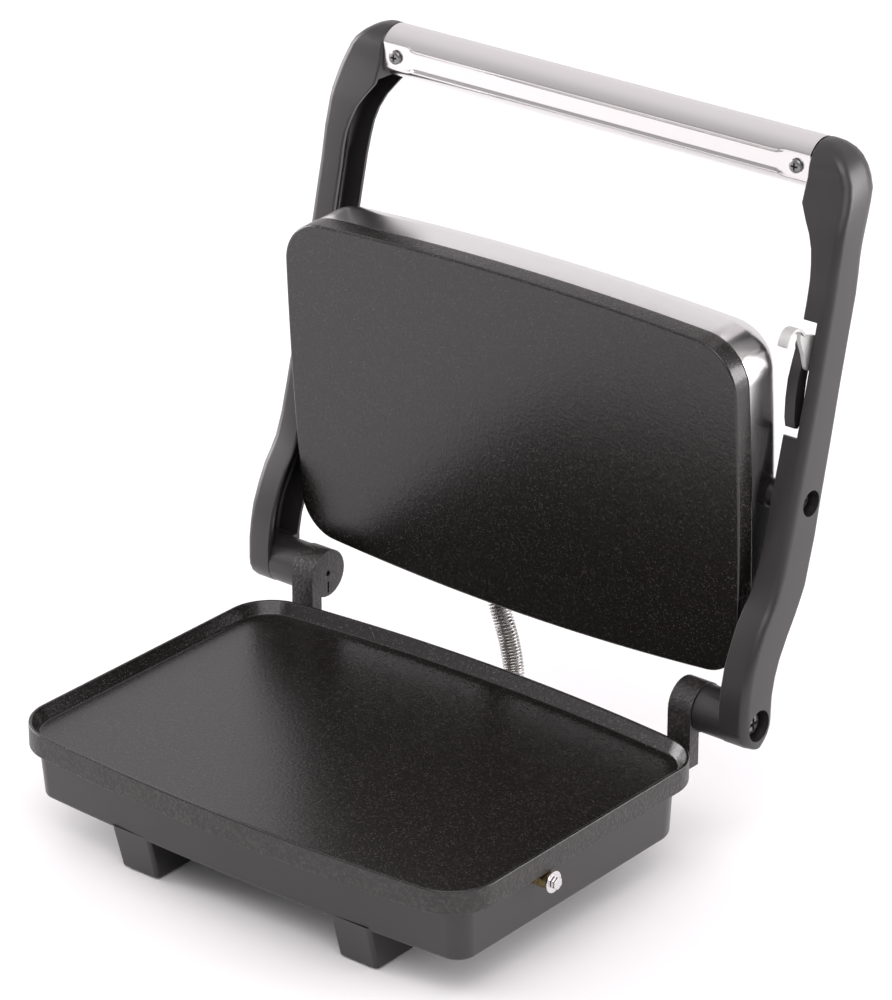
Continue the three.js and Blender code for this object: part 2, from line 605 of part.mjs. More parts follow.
const lowerHeaterZ = panUnder - heaterRadius - 2 * gap;
add('lower_heater', heaterLoop(lowerHeaterZ), 'sheath');
const lowerSheetZ = lowerHeaterZ - heaterRadius - 3;
add('lower_reflector', flatSheet(188, 116, lowerSheetZ, lowerSheetZ + 0.8,
  ...leadHoles(lowerSheetZ, lowerSheetZ + 0.8),
  bar('z', 10, lowerSheetZ - 1, lowerSheetZ + 2, 30, 0)), 'zinc');
add('lower_thermostat', join(bar('z', 8.5, panUnder - 9, panUnder - gap, 30, 0),
  box(22, 38, -5, 5, panUnder - 16, panUnder - 8.5)), 'ceramic');
add('thermal_fuse', bar('x', 3, -52, -34, 20, panUnder - gap - 3, 3, 16), 'ceramic');
const blockRearY = wallY(52, footHeight + housingRound, 1) - housingWall - 14;
add('terminal_block', box(24, 52, blockRearY - 14, blockRearY, footHeight + housingWall + gap,
  footHeight + housingWall + 13), 'ceramic');

const upperFlip = new THREE.Matrix4().makeRotationY(Math.PI);
const upperHeaterZ = faceThickness + heaterRadius + 2 * gap;
add('upper_heater', stood(heaterLoop(0).applyMatrix4(upperFlip).translate(0, 0, upperHeaterZ)), 'sheath');
const upperSheetZ = upperHeaterZ + heaterRadius + 3;
add('upper_reflector', stood(flatSheet(188, 100, upperSheetZ, upperSheetZ + 0.8,
  ...leadHoles(upperSheetZ, upperSheetZ + 0.8),
  bar('z', 10, upperSheetZ - 1, upperSheetZ + 2, 30, 0))), 'zinc');
add('upper_thermostat', stood(join(bar('z', 8.5, faceThickness + gap, faceThickness + 9, 30, 0),
  box(22, 38, -5, 5, faceThickness + 8.5, faceThickness + 16))), 'ceramic');

// ---- cord inlet, and the coil conduit that carries the lid's wires ------------------------------
function bush(radius, bore, from, to, flange, x, z) {
  const flanged = join(bar('y', 5, from, to + 0.2, x, z),
    bar('y', radius, to, to + flange, x, z, radius - 1));
  return cut(flanged, bar('y', bore, from - 1, to + flange + 1, x, z));
}
const glandWall = wallY(glandX, glandZ, 1);
add('cord_gland', bush(8, 3.6, glandWall - 6, glandWall + gap + 0.6, 9, glandX, glandZ), 'rubber');
const baseWall = wallY(conduitStart[0], conduitStart[2], 1) + gap;
const bushFlange = 3;
add('conduit_bush_base', bush(bushRadius, bushBore, baseWall - 6, baseWall, bushFlange,
  conduitStart[0], conduitStart[2]), 'rubber');
add('conduit_bush_lid', stood(bush(bushRadius, bushBore, shellEnd - 6, shellEnd + gap, bushFlange,
  bushLid.x, bushLid.z)), 'rubber');

const lidPoint = (past) => new THREE.Vector3(bushLid.x, shellEnd + gap + bushFlange + past, bushLid.z)
  .applyMatrix4(standUp);
const conduitFrom = baseWall + bushFlange + gap;
const conduitMiddle = [[-5, 122, 38.6], [-7.5, 134, 36.5], [-11, 143.5, 38], [-14.5, 148.5, 45],
  [-18.5, 150, 58], [-22, 150.3, 68]];
const basePoint = (past) => [conduitStart[0], conduitFrom + past, conduitStart[2]];
const conduitLine = (past) => [basePoint(-past), basePoint(3), basePoint(7), ...conduitMiddle,
  lidPoint(gap + 8).toArray(), lidPoint(gap + 4).toArray(), lidPoint(gap - past).toArray()];
add('conduit', cut(sweep(conduitLine(0), conduitRadius, 12, 20),
  sweep(conduitLine(2), conduitBore, 10, 20)), 'steel');
add('lid_wiring', sweep(conduitLine(18), wiringRadius, 6, 24), 'wire');

// ---- latch: post on the base, hook and thumb lever on the right arm -----------------------------
const latchPostX = sideX - housingInset + gap;
add('latch_post', cut(bar('x', postBushRadius, latchPostX, sideX + 1.3, postSideY, postSideZ),
  bar('x', 2.3, latchPostX - 1, sideX + 3, postSideY, postSideZ, 2.3, 16)), 'brass');
add('latch_post_washer', cut(bar('x', 5.8, sideX + 1.6, sideX + 2.8, postSideY, postSideZ),
  bar('x', 2.3, sideX, sideX + 4, postSideY, postSideZ, 2.3, 16)), 'zinc');
add('latch_post_screw', join(bar('x', 3.4, sideX + 3.1, sideX + 5.4, postSideY, postSideZ, 3.4, 6),
  bar('x', screwRadius, sideX - 14, sideX + 3.3, postSideY, postSideZ)), 'zinc');

const armPoints = (points) => points.map(([y, z]) => [hingeY + y, hingeZ + z]);
const hookEar = [[47, 179.5], [51, 181.2], [54, 184.6], [55.2, 189.5], [54, 194], [50, 197.2],
  [46, 199], [42, 200.6], [37.4, 204.4], [33, 205.4], [29.5, 204.6], [26.8, 202], [25.6, 197.6],
  [27.4, 196.6], [29, 199.8], [32, 201.4], [35.5, 200.4], [38.5, 197], [42, 191.5], [43, 186],
  [44.6, 181]];
const hookClaw = [[38.4, 203.4], [37.4, 204.4], [33, 205.4], [29.5, 204.6], [26.8, 202], [25.6, 197.6],
  [27.4, 196.6], [29, 199.8], [32, 201.4], [35.5, 200.4], [36.6, 199.2]];
const latchHook = cut(join(sheetX(armPoints(hookEar), sideX + 7.2, sideX + 10),
  sheetX(armPoints(hookClaw), sideX + 3.2, sideX + 8)),
  bar('x', latchPinRadius + running, sideX + 6, sideX + 12, latchY, latchZ));
add('latch_hook', latchHook, 'zinc');

const leverShape = [[38.6, 148.6], [41, 147.8], [43.2, 149.6], [45.4, 160], [47.4, 172], [50, 182],
  [54.4, 186], [55, 190], [52.6, 193.4], [48.6, 193.6], [46, 190.4], [43, 183], [39.6, 174],
  [38, 164], [37.6, 154]];
const leverInside = sideX + 0.6, leverOutside = sideX + 6.9;
const lever = cut(sheetX(armPoints(leverShape), leverInside, leverOutside),
  bar('x', latchPinRadius + running, sideX - 2, sideX + 10, latchY, latchZ));
add('latch_lever', lever, 'moulded');
add('latch_pin', join(bar('x', latchPinRadius, leverInside - 0.5, sideX + 13.6, latchY, latchZ),
  bar('x', 3.4, leverInside - 1.4, leverInside - gap, latchY, latchZ)), 'zinc');

// ---- move to the middle of the whole object's own box, table at z = 0 ---------------------------
const whole = new THREE.Box3().setFromObject(press);
const middleY = (whole.min.y + whole.max.y) / 2;
for (const mesh of press.children) mesh.geometry.translate(0, -middleY, 0);

export default press;
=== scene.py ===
import json
import math

import bpy
from mathutils import Matrix, Vector


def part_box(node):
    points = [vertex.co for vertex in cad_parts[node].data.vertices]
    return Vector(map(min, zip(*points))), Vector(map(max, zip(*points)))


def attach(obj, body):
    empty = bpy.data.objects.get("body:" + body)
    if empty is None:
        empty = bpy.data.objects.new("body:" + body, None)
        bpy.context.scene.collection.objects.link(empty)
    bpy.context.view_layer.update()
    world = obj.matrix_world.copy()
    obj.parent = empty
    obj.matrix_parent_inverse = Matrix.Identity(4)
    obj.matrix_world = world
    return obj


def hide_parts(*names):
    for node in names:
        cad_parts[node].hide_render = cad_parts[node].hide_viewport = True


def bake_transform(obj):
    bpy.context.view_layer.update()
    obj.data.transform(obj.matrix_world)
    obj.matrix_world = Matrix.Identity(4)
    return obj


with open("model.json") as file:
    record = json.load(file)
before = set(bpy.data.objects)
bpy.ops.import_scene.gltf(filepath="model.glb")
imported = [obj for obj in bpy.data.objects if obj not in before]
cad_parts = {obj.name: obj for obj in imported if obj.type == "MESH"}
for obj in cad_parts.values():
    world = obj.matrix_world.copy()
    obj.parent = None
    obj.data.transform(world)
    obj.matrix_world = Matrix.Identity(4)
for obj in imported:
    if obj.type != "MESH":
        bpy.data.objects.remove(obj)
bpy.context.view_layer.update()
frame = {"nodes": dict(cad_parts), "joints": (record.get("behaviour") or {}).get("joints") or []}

MM = 0.001

# ---- Studio ------------------------------------------------------------------------------------
# A pale table top that fills the view, under a wide overhead lamp, with soft lamps low at both sides.
# The air behind the object is brighter than the air in front of it, so dark gloss shows its form.
scene = bpy.context.scene
scene.view_settings.view_transform = "Standard"
soft_white = (1.0, 0.965, 0.985)


def lamp(name, place, aim, across, power):
    data = bpy.data.lights.new(name, "AREA")
    data.shape = "RECTANGLE"
    data.size, data.size_y = across
    data.energy = power
    data.color = soft_white
    made = bpy.data.objects.new(name, data)
    scene.collection.objects.link(made)
    made.location = place
    made.rotation_euler = (Vector(aim) - Vector(place)).to_track_quat("-Z", "Y").to_euler()


lamp("lamp_overhead", (0.9, -1.2, 2.2), (0.0, 0.0, 0.1), (2.4, 1.8), 44)
lamp("lamp_right", (1.9, 1.5, 0.7), (0.1, 0.0, 0.15), (1.6, 1.0), 42)
lamp("lamp_left", (-2.0, -0.4, 0.7), (0.0, 0.0, 0.15), (1.6, 1.0), 36)


class Layer:
    """A value that varies from place to place. Sums, products and 1 - layer add their own nodes."""

    def __init__(self, tree, socket=None):
        self.tree = tree
        self.socket = socket

    def node(self, kind, settings, sockets, out=0):
        """Any node: its type, its settings, then the values or layers of its sockets."""
        made = self.tree.nodes.new(kind)
        for name, value in settings.items():
            setattr(made, name, value)
        for name, value in sockets.items():
            if isinstance(value, Layer):
                self.tree.links.new(value.socket, made.inputs[name])
            else:
                made.inputs[name].default_value = value
        return Layer(self.tree, made.outputs[out] if made.outputs else None)

    def maths(self, operation, first, second):
        return self.node("ShaderNodeMath", {"operation": operation}, {0: first, 1: second})

    def __add__(self, other):
        return self.maths("ADD", self, other)

    def __rsub__(self, other):
        return self.maths("SUBTRACT", other, self)

    def __mul__(self, other):
        return self.maths("MULTIPLY", self, other)

    __radd__ = __add__
    __rmul__ = __mul__

    def between(self, low, high):
        """0 below low, 1 above high and a soft step from one to the other."""
        return self.node("ShaderNodeMapRange", {"interpolation_type": "SMOOTHSTEP"},
                         {"Value": self, "From Min": low, "From Max": high})

    def blend(self, under, over):
        """The colour under where this layer is 0, and over where it is 1."""
        return self.node("ShaderNodeMix", {"data_type": "RGBA"}, {0: self, 6: under, 7: over}, 2)

    def cloud(self, scale, detail=2.0, rough=0.5):
        """Soft noise at this many waves to the metre."""
        return self.node("ShaderNodeTexNoise", {},
                         {"Vector": self, "Scale": scale, "Detail": detail, "Roughness": rough})

    def relief(self, strength, depth):
        """The surface normal with this layer as its height, depth metres from 0 to 1."""
        return self.node("ShaderNodeBump", {}, {"Strength": strength, "Distance": depth, "Height": self})


world = bpy.data.worlds.new("studio_air")
world.use_nodes = True
air = world.node_tree
background = air.nodes["Background"]
away_from_view = (-0.58, 0.72, 0.38)
toward = Layer(air).node("ShaderNodeTexCoord", {}, {}, "Generated")
behind = toward.node("ShaderNodeVectorMath", {"operation": "DOT_PRODUCT"},
                     {0: toward, 1: away_from_view}, "Value")
brighter = behind.node("ShaderNodeMapRange", {"interpolation_type": "SMOOTHSTEP"},
                       {"Value": behind, "From Min": -0.4, "From Max": 0.95, "To Min": 0.4, "To Max": 1.0})
air.links.new(brighter.socket, background.inputs["Strength"])
background.inputs["Color"].default_value = (*soft_white, 1)
scene.world = world

bpy.ops.mesh.primitive_plane_add(size=30)
floor = bpy.context.object
floor.name = "table_top"
floor_paint = bpy.data.materials.new("pale_table")
floor_paint.use_nodes = True
floor_shader = floor_paint.node_tree.nodes["Principled BSDF"]
floor_shader.inputs["Base Color"].default_value = (0.9, 0.9, 0.9, 1)
floor_shader.inputs["Roughness"].default_value = 0.85
floor.data.materials.append(floor_paint)

camera_data = bpy.data.cameras.new("camera")
camera_data.lens = 172.94
camera_data.sensor_width = 36
camera = bpy.data.objects.new("camera", camera_data)
camera.location = (1.41289, -1.72113, 1.19554)
camera.rotation_euler = (math.radians(90 - 24.48), 0, math.radians(39.09))
scene.collection.objects.link(camera)
scene.camera = camera


# ---- Lower plate -------------------------------------------------------------------------------
# Die-cast aluminium pan, 300 mm wide: a flat floor, walls that lean out and a deep skirt outside.
# The inside is sprayed with black non-stick; the skirt keeps a coarse wrinkle paint.
def finish(name, recipe):
    """A material whose shader sockets are what recipe gives for the place on the piece."""
    material = bpy.data.materials.new(name)
    material.use_nodes = True
    material.node_tree.nodes.clear()
    place = Layer(material.node_tree).node("ShaderNodeTexCoord", {}, {}, "Object")
    shader = place.node("ShaderNodeBsdfPrincipled", {}, recipe(place))
    place.node("ShaderNodeOutputMaterial", {}, {"Surface": shader})
    return material


def nonstick(place):
    peel = place.cloud(520, 3.0)
    cells = {"Vector": place, "Scale": 1150.0}
    near = place.node("ShaderNodeTexVoronoi", {}, cells, "Distance")
    tint = place.node("ShaderNodeTexVoronoi", {}, cells, "Color")
    chosen = tint.node("ShaderNodeSeparateColor", {}, {"Color": tint}, "Red").between(0.35, 1.0)
    fleck = (1 - near.between(0.1, 0.32)) * chosen
    wear = place.cloud(9, 2.0)
    return {"Base Color": fleck.blend((0.0052, 0.0042, 0.0034, 1), (0.15, 0.14, 0.13, 1)),
            "Roughness": 0.19 + 0.1 * peel + 0.05 * wear, "Specular IOR Level": 0.6,
            "Normal": (peel + 0.5 * fleck).relief(0.4, 0.00022)}


def wrinkle(place):
    pebble = place.node("ShaderNodeTexVoronoi", {"feature": "SMOOTH_F1"},
                        {"Vector": place, "Scale": 620.0, "Smoothness": 0.6}, "Distance")
    broad = place.cloud(300, 3.0, 0.6)
    height = 0.7 * broad + 0.6 * (1 - pebble)
    shade = place.cloud(60, 3.0)
    # Painted shade: the colour is darker in the wrinkle's hollows and lighter on its crests, following the
    # relief's height.
    relief_shading = height.between(0.55, 1.0)
    return {"Base Color": relief_shading.blend((0.011, 0.0095, 0.009, 1), (0.04, 0.036, 0.033, 1)),
            "Roughness": 0.36 + 0.15 * shade, "Specular IOR Level": 0.55,
            "Normal": height.relief(0.6, 0.0005)}


nonstick_coat = finish("black_nonstick", nonstick)
wrinkle_paint = finish("wrinkle_paint", wrinkle)


def plate_ring(plan, inset, z):
    """Outline of a plate, moved in by inset, at height z: round corners and ends that bow outwards."""
    least = 1.5 * MM
    corner_steps = 12
    half = (plan["width"] / 2, plan["depth"] / 2)
    front, rear = plan["front"], plan["rear"]
    corners = [(1, -1, front), (1, 1, rear), (-1, 1, rear), (-1, -1, front)]
    flat = []
    for k, (sx, sy, full) in enumerate(corners):
        r = max(full - inset, least)
        centre = Vector((sx * (half[0] - inset - r), sy * (half[1] - inset - r)))
        start = (k - 1) * math.pi / 2
        for i in range(corner_steps + 1):
            angle = start + i / corner_steps * math.pi / 2
            flat.append(centre + r * Vector((math.cos(angle), math.sin(angle))))
        nx, ny, next_full = corners[(k + 1) % 4]
        rn = max(next_full - inset, least)
        angle = start + math.pi / 2
        reach = Vector((nx * (half[0] - inset - rn), ny * (half[1] - inset - rn)))
        reach += rn * Vector((math.cos(angle), math.sin(angle)))
        parts = 8 if k % 2 == 0 else 24
        flat += [flat[-1].lerp(reach, i / parts) for i in range(1, parts)]
    ring = []
    for p in flat:
        u, v = p.x / half[0], p.y / half[1]
        side = 1 + (plan["bow_side"] * (1 - v * v) + plan["taper"] * v) / half[0]
        bow = plan["bow_front"] if v < 0 else plan["bow_rear"]
        ring.append(Vector((p.x * side, p.y + bow * (1 - u * u) * v * abs(v) + plan["middle"], z)))
    return ring


def soften(corners, radius, steps=4):
    """A profile of (inset, z) corners, with every corner but the first and last rounded over radius."""
    most = 0.45
    line = [Vector(corners[0])]
    for before, corner, after in zip(corners, corners[1:], corners[2:]):
        here, back, on = Vector(corner), Vector(before) - Vector(corner), Vector(after) - Vector(corner)
        reach = min(radius, back.length * most, on.length * most)
        a, b = here + back.normalized() * reach, here + on.normalized() * reach
        for i in range(steps + 1):
            t = i / steps
            line.append(a * (1 - t) ** 2 + here * 2 * t * (1 - t) + b * t * t)
    return line + [Vector(corners[-1])]


def loft(rings):
    """Corners and faces of a skin over rings of equal length, capped at both ends."""
    n = len(rings[0])
    corners = [p for ring in rings for p in ring]
    faces = []
    for a in range(0, (len(rings) - 1) * n, n):
        b = a + n
        faces += [(a + i, a + (i + 1) % n, b + (i + 1) % n, b + i) for i in range(n)]
    faces += [tuple(reversed(range(n))), tuple(range((len(rings) - 1) * n, len(rings) * n))]
    return corners, faces


crease = 35


def piece(name, shape, *materials, smooth=crease):
    """A mesh object from corners and faces, shaded smooth up to that many degrees between faces."""
    mesh = bpy.data.meshes.new(name)
    mesh.from_pydata([tuple(p) for p in shape[0]], [], shape[1])
    for material in materials:
        mesh.materials.append(material)
    made = bpy.data.objects.new(name, mesh)
    scene.collection.objects.link(made)
    even_shading(made, smooth)
    return made


def even_shading(made, smooth=crease):
    """Smooth shading that keeps flat faces flat and edges sharper than that many degrees crisp."""
    made.data.shade_smooth()
    made.data.set_sharp_from_angle(angle=math.radians(smooth))
    weigh = made.modifiers.new("flat_faces", "WEIGHTED_NORMAL")
    weigh.keep_sharp = True


def apply_tools(made):
    """Bakes the modifiers into the mesh and shades it again."""
    bpy.context.view_layer.update()
    whole = made.evaluated_get(bpy.context.evaluated_depsgraph_get())
    mesh = bpy.data.meshes.new_from_object(whole)
    made.modifiers.clear()
    made.data = mesh
    even_shading(made)


def carve(made, shapes, operation="DIFFERENCE"):
    """Cuts closed shapes out of a piece, or joins them to it."""
    tools = []
    made.modifiers.clear()
    for shape in shapes:
        tool = piece("tool", shape)
        tool.modifiers.clear()
        change = made.modifiers.new("cut", "BOOLEAN")
        change.operation, change.object, change.solver = operation, tool, "EXACT"
        tools.append(tool)
    apply_tools(made)
    for tool in tools:
        bpy.data.objects.remove(tool)


def brick(low, high):
    """Corners and faces of a box."""
    rings = [[Vector((x, y, z)) for x, y in ((low[0], low[1]), (high[0], low[1]),
                                            (high[0], high[1]), (low[0], high[1]))]
             for z in (low[2], high[2])]
    return loft(rings)


def rod(start, end, radius, sides=48):
    """Corners and faces of a round bar from start to end."""
    start, end = Vector(start), Vector(end)
    turn = (end - start).to_track_quat("Z", "Y")
    rings = []
    for centre in (start, end):
        rings.append([centre + turn @ Vector((radius * math.cos(2 * math.pi * i / sides),
                                              radius * math.sin(2 * math.pi * i / sides), 0))
                      for i in range(sides)])
    return loft(rings)


plate_low, plate_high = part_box("lower_plate")
rim_z = plate_high.z
bow_front, bow_rear = 8.4 * MM, 10.7 * MM
skirt_height = 13 * MM
pan_depth = 6.5 * MM
rim_thick = 1.7 * MM
wall_lean = 4 * MM
pan_floor_thick = 4.5 * MM
pan_floor_lap = 6 * MM
pan_edge = 0.9 * MM
lower_plan = {"width": plate_high.x - plate_low.x, "front": 24.4 * MM, "rear": 23 * MM,
              "depth": plate_high.y - plate_low.y - bow_front - bow_rear,
              "middle": (plate_high.y - bow_rear + plate_low.y + bow_front) / 2,
              "bow_front": bow_front, "bow_rear": bow_rear, "bow_side": 0, "taper": 0}
skirt_wall = 4 * MM
pan_under = rim_z - pan_depth - pan_floor_thick
pan_profile = [(skirt_wall, pan_under), (skirt_wall, rim_z - skirt_height), (0, rim_z - skirt_height),
               (0, rim_z), (rim_thick, rim_z), (rim_thick + wall_lean, rim_z - pan_depth),
               (rim_thick + wall_lean + pan_floor_lap, rim_z - pan_depth)]
pan_line = soften(pan_profile, pan_edge)
lower_shape = loft([plate_ring(lower_plan, inset, z) for inset, z in pan_line])
lower_plate = piece("cooking_plate_lower", lower_shape, nonstick_coat, wrinkle_paint)
paint_line = rim_z - 0.6 * MM
for face in lower_plate.data.polygons:
    outside = face.normal.z < 0.5 and face.center.z < paint_line
    inside = face.normal.z > 0.05
    face.material_index = 1 if outside and not inside else 0
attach(lower_plate, "base")
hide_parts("lower_plate")


# ---- Base housing ------------------------------------------------------------------------------
# Tub that hides the heater, on four tapered feet, in smooth satin black heat-proof paint.
# The pan's skirt closes over its top edge, and the hinge brackets leave through its back wall.
def satin(place):
    grain = place.cloud(1400, 2.0)
    waves = place.cloud(35, 2.0)
    return {"Base Color": waves.blend((0.013, 0.0115, 0.011, 1), (0.018, 0.0165, 0.016, 1)),
            "Roughness": 0.3 + 0.08 * grain, "Specular IOR Level": 0.6,
            "Normal": (grain + 0.6 * waves).relief(0.25, 0.00012)}


satin_black = finish("satin_black", satin)
tub_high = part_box("base_housing")[1]
foot_height = 25 * MM
foot_wide, foot_deep, foot_round, foot_flare = 25 * MM, 30 * MM, 2.5 * MM, 0.5 * MM
pad_lift = 0.8 * MM
tub_inset, tub_wall, tub_edge = 7.5 * MM, 2.5 * MM, 2 * MM
draft = {"side": 1.3 * MM, "front": 2.4 * MM, "rear": 1 * MM}


def tub_plan(z):
    """The housing's outline at height z: its walls lean in by a share of their draft."""
    share = (tub_high.z - z) / (tub_high.z - foot_height)
    return {"width": lower_plan["width"] - 2 * (tub_inset + draft["side"] * share),
            "depth": lower_plan["depth"] - 2 * tub_inset - (draft["front"] + draft["rear"]) * share,
            "middle": lower_plan["middle"] + (draft["front"] - draft["rear"]) * share / 2,
            "front": 10 * MM, "rear": 16 * MM, "bow_front": 5 * MM, "bow_rear": 10.7 * MM,
            "bow_side": 0, "taper": 0}


def tub_front(x, z):
    """How far forward the front wall is at x and z."""
    plan = tub_plan(z)
    return plan["middle"] - plan["depth"] / 2 - plan["bow_front"] * (1 - (2 * x / plan["width"]) ** 2)


def tub_rear(x, z):
    """How far back the rear wall is at x and z."""
    plan = tub_plan(z)
    return plan["middle"] + plan["depth"] / 2 + plan["bow_rear"] * (1 - (2 * x / plan["width"]) ** 2)


def foot_shape(x, middle_y, at_front):
    """A foot with round upright edges, whose outer face slopes up into the nearer end wall."""
    low_z, high_z, r = pad_lift, foot_height + tub_edge, foot_round
    low_y, high_y = middle_y - foot_deep / 2, middle_y + foot_deep / 2
    into_wall = 0.1 * MM
    toe_rise, toe_in = 0.8 * MM, 0.7 * MM
    rings = []
    for z, grow in ((low_z, -toe_in), (low_z + toe_rise, 0), (high_z, foot_flare)):
        rise = (z - low_z) / (high_z - low_z)
        front, rear = low_y - grow, high_y + grow
        if at_front:
            front += (tub_front(x, high_z) + into_wall - low_y) * rise
        else:
            rear += (tub_rear(x, high_z) - into_wall - high_y) * rise
        ring = []
        for k, (sx, y) in enumerate(((1, rear - r), (-1, rear - r), (-1, front + r), (1, front + r))):
            cx = x + sx * (foot_wide / 2 + grow - r)
            for i in range(6):
                a = (k + i / 5) * math.pi / 2
                ring.append(Vector((cx + r * math.cos(a), y + r * math.sin(a), z)))
        rings.append(ring)
    return loft(rings)


tub_line = soften([(tub_edge * 4, foot_height), (0, foot_height), (0, tub_high.z - tub_edge * 3),
                   (0, tub_high.z)], tub_edge, 6)
tub_line += [(tub_wall, tub_high.z), (tub_wall, foot_height + tub_wall)]
housing = piece("base_housing_painted",
                loft([plate_ring(tub_plan(z), inset, z) for inset, z in tub_line]), satin_black)
quarters = ("front_left", "front_right", "rear_left", "rear_right")
feet = []
for quarter in quarters:
    low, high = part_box(f"foot_pad_{quarter}")
    middle = (low + high) / 2
    feet.append(foot_shape(middle.x, middle.y, "front" in quarter))
carve(housing, feet, "UNION")
post_low, post_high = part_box("latch_post")
post_y, post_z = (post_low.y + post_high.y) / 2, (post_low.z + post_high.z) / 2
post_hole, post_reach = 2.3 * MM, 12 * MM
holes = [rod((post_low.x - post_reach, post_y, post_z), (post_low.x + post_reach, post_y, post_z), post_hole)]
through = 5 * MM
for inlet, flange in (("cord_gland", 2.7 * MM), ("conduit_bush_base", 2.2 * MM)):
    low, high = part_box(inlet)
    x, z, r = (low.x + high.x) / 2, (low.z + high.z) / 2, (high.x - low.x) / 2 - flange
    holes.append(rod((x, low.y - through, z), (x, high.y + through, z), r))
clear = Vector((0.3 * MM, 0.3 * MM, 0.3 * MM))
beyond = Vector((0, 0, 10 * MM))
for quarter in quarters:
    low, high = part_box(f"foot_pad_{quarter}")
    holes.append(brick(Vector((low.x - clear.x, low.y - clear.y, low.z - beyond.z)), high + clear))
for side in ("left", "right"):
    low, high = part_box(f"hinge_bracket_{side}")
    holes.append(brick(low - clear, Vector((high.x, high.y, tub_high.z)) + beyond + clear))
carve(housing, holes)
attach(housing, "base")
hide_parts("base_housing")


# ---- Foot pads, cord inlet and conduit bushes ----------------------------------------------------
# Moulded black rubber: four pads pressed into the feet, and three grommets snapped into the walls.
# One grommet is the cord's inlet; the other two hold the ends of the conduit.
def rubber(place):
    grain = place.cloud(2200, 2.0)
    return {"Base Color": grain.blend((0.012, 0.012, 0.012, 1), (0.02, 0.02, 0.02, 1)),
            "Roughness": 0.75 + 0.1 * grain, "Normal": grain.relief(0.3, 0.0001)}


black_rubber = finish("black_rubber", rubber)


def crisp_by_angle():
    """Node tools that shade smooth only over edges no sharper than the crease, made once."""
    name = "edges_by_angle"
    if name in bpy.data.node_groups:
        return bpy.data.node_groups[name]
    group = bpy.data.node_groups.new(name, "GeometryNodeTree")
    group.interface.new_socket("Geometry", in_out="INPUT", socket_type="NodeSocketGeometry")
    group.interface.new_socket("Geometry", in_out="OUTPUT", socket_type="NodeSocketGeometry")
    start, end = group.nodes.new("NodeGroupInput"), group.nodes.new("NodeGroupOutput")
    edge = group.nodes.new("GeometryNodeInputMeshEdgeAngle")
    compare = group.nodes.new("FunctionNodeCompare")
    compare.data_type, compare.operation = "FLOAT", "LESS_EQUAL"
    compare.inputs[1].default_value = math.radians(crease)
    shade = group.nodes.new("GeometryNodeSetShadeSmooth")
    shade.domain = "EDGE"
    group.links.new(edge.outputs["Unsigned Angle"], compare.inputs[0])
    group.links.new(start.outputs[0], shade.inputs["Geometry"])
    group.links.new(compare.outputs[0], shade.inputs["Shade Smooth"])
    group.links.new(shade.outputs[0], end.inputs[0])
    return group


def dress(node, material, edge=0.0):
    """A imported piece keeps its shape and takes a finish, with its sharp edges rounded by edge."""
    made = frame["nodes"][node]
    made.data.materials.clear()
    made.data.materials.append(material)
    normals = made.data.attributes.get("custom_normal")
    if normals:
        made.data.attributes.remove(normals)
    made.data.shade_smooth()
    weld = made.modifiers.new("one_skin", "WELD")
    weld.merge_threshold = 0.002 * MM
    if edge:
        bevel = made.modifiers.new("round_edges", "BEVEL")
        bevel.width, bevel.segments = edge, 2
        bevel.limit_method, bevel.angle_limit = "ANGLE", math.radians(crease)
    crisp = made.modifiers.new("crisp_edges", "NODES")
    crisp.node_group = crisp_by_angle()
    weigh = made.modifiers.new("flat_faces", "WEIGHTED_NORMAL")
    weigh.keep_sharp = True


for quarter in quarters:
    dress(f"foot_pad_{quarter}", black_rubber, edge=0.3 * MM)
for grommet in ("cord_gland", "conduit_bush_base", "conduit_bush_lid"):
    dress(grommet, black_rubber, edge=0.4 * MM)


# ---- Hinge brackets ----------------------------------------------------------------------------
# Cast aluminium with the same wrinkle paint: a round knuckle on a neck, screwed under the pan.
# The left and right ones mirror each other, and each carries the bolt that its arm turns on.
for side in ("left", "right"):
    dress(f"hinge_bracket_{side}", wrinkle_paint, edge=0.5 * MM)


# ---- Arms --------------------------------------------------------------------------------------
# Two moulded phenolic channels, open to the inside, that carry the upper plate and the handle.
# Each turns on a bolt through its hinge barrel, and the right one has a slot for the latch lever.
# The short pins that the upper plate floats on are of the same moulding.
def phenolic(place):
    grain = place.cloud(1500, 3.0)
    flow = place.cloud(25, 3.0)
    return {"Base Color": flow.blend((0.014, 0.0125, 0.013, 1), (0.02, 0.0185, 0.019, 1)),
            "Roughness": 0.3 + 0.1 * grain + 0.06 * flow, "Specular IOR Level": 0.6,
            "Normal": (grain + flow).relief(0.3, 0.00012)}


moulded_black = finish("moulded_black", phenolic)
for side in ("left", "right"):
    dress(f"arm_{side}", moulded_black, edge=0.5 * MM)
    dress(f"float_trunnion_{side}", moulded_black, edge=0.4 * MM)


# ---- Handle ------------------------------------------------------------------------------------
# Polished stainless tube between the arms, with a long recessed band pressed into its front side.
# The band widens into a pad at each end, where a screw goes through the tube into the arm's spigot.
def stainless(place):
    stretch = place.node("ShaderNodeMapping", {}, {"Vector": place, "Scale": (0.04, 1.0, 1.0)})
    lines = stretch.cloud(3000, 3.0)
    return {"Base Color": (0.7, 0.68, 0.68, 1), "Metallic": 1.0, "Roughness": 0.14 + 0.12 * lines,
            "Normal": lines.relief(0.06, 0.00005)}


polished_tube = finish("polished_stainless", stainless)
tube_low, tube_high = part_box("handle_tube")
tube_radius = (tube_high.z - tube_low.z) / 2
tube_axis = Vector((0, tube_high.y - tube_radius, (tube_low.z + tube_high.z) / 2))
band_depth = tube_axis.y - tube_low.y
band_half, pad_half = 4.7 * MM, 6.4 * MM
band_slope = 1.1 * MM
pad_long, pad_ease = 13 * MM, 9 * MM


def ease(t):
    """0 up to 0, 1 from 1 on, and a soft step between."""
    t = min(max(t, 0), 1)
    return t * t * (3 - 2 * t)


